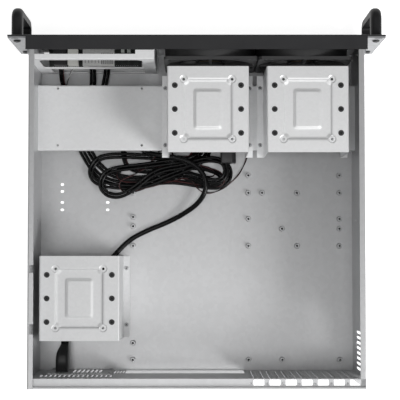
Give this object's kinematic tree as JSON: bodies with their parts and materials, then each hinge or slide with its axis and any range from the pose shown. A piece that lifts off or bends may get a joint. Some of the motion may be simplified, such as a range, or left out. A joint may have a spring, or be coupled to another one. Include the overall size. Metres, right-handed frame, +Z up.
{
  "type": "rackmount server case",
  "caption": "Open-topped steel rackmount case with a black front panel, bow handles, fan slots, a raised drive shelf, embossed drive brackets and a recessed rear wall with card slots.",
  "frame": {"origin": "underside of the tray, at the middle of its width and depth; the front panel's face is at Y = -225 mm and the tray's rear edge at Y = +225 mm", "axes": "+X to the right as seen from the front, +Y to the rear, +Z up"},
  "size_m": [0.4826, 0.4895, 0.1325],
  "materials": {
    "galvanised_steel": "satin galvanised sheet",
    "bright_zinc": "bright zinc-plated sheet",
    "grey_steel": "plain plated steel",
    "black_powder_coat": "fine-textured powder coat",
    "black_handle": "satin black coating",
    "zinc_screws": "bright zinc plating",
    "black_screws": "black oxide",
    "black_fan_plastic": "moulded",
    "motor_core": "laminated core",
    "circuit_board": "solder mask",
    "port_metal": "plated metal",
    "port_plastic": "moulded",
    "black_plastic": "moulded",
    "light_plastic": "moulded",
    "button_plastic": "moulded",
    "clear_lens": "clear moulded lens",
    "black_rubber": "soft rubber",
    "black_cord": "cord jacket",
    "red_black_wire": "wire insulation"
  },
  "bodies": {
    "case": {"base_tray": "galvanised_steel", "rear_panel": "galvanised_steel", "front_frame": "galvanised_steel", "front_panel": "black_powder_coat", "ear_left": "grey_steel", "ear_right": "grey_steel", "handle_left": "black_handle", "handle_right": "black_handle", "ear_screws": "zinc_screws", "handle_screws": "zinc_screws", "fan_screws": "black_screws", "shelf_screws": "zinc_screws", "inlet_plate_screws": "zinc_screws", "ac_inlet_screws": "zinc_screws", "fan_a_frame": "black_fan_plastic", "fan_b_frame": "black_fan_plastic", "fan_a_stator": "motor_core", "fan_b_stator": "motor_core", "io_bracket": "bright_zinc", "io_board": "circuit_board", "usb_shell": "port_metal", "usb_tongues": "port_plastic", "power_switch": "black_plastic", "reset_switch": "light_plastic", "indicator_lights": "clear_lens", "lead_sockets": "black_plastic", "drive_shelf": "galvanised_steel", "drive_bracket_1": "bright_zinc", "drive_bracket_2": "bright_zinc", "drive_bracket_3": "bright_zinc", "grommets_1": "black_rubber", "grommets_2": "black_rubber", "grommets_3": "black_rubber", "bracket_screws_1": "zinc_screws", "bracket_screws_2": "zinc_screws", "bracket_screws_3": "zinc_screws", "inlet_plate": "galvanised_steel", "ac_inlet": "black_plastic", "ac_inlet_pins": "port_metal", "ac_connector": "black_plastic", "ac_lead": "black_cord", "usb_lead_a": "black_cord", "usb_lead_b": "black_cord", "panel_lead": "black_cord", "fan_lead_a": "red_black_wire", "fan_lead_b": "red_black_wire", "cable_hank": "black_cord", "usb_plug_a": "black_plastic", "usb_plug_b": "black_plastic", "panel_plug": "black_plastic", "fan_plug_a": "black_plastic", "fan_plug_b": "black_plastic"},
    "fan_a_impeller": {"fan_a_rotor": "black_fan_plastic"},
    "fan_b_impeller": {"fan_b_rotor": "black_fan_plastic"},
    "power_key": {"power_button": "button_plastic"},
    "reset_key": {"reset_button": "button_plastic"}
  },
  "joints": [
    {"name": "fan_a_spin", "type": "hinge", "parent": "case", "child": "fan_a_impeller", "pos_m": [-0.0178, -0.207, 0.06525], "axis": [0, 1, 0], "continuous": true},
    {"name": "fan_b_spin", "type": "hinge", "parent": "case", "child": "fan_b_impeller", "pos_m": [-0.1395, -0.207, 0.06525], "axis": [0, 1, 0], "continuous": true},
    {"name": "power_press", "type": "slide", "parent": "case", "child": "power_key", "axis": [0, 1, 0], "range_m": [0, 0.0015], "stiffness_N_per_m": 400, "springref_m": -0.001},
    {"name": "reset_press", "type": "slide", "parent": "case", "child": "reset_key", "axis": [0, 1, 0], "range_m": [0, 0.0015], "stiffness_N_per_m": 300, "springref_m": -0.001}
  ]
}
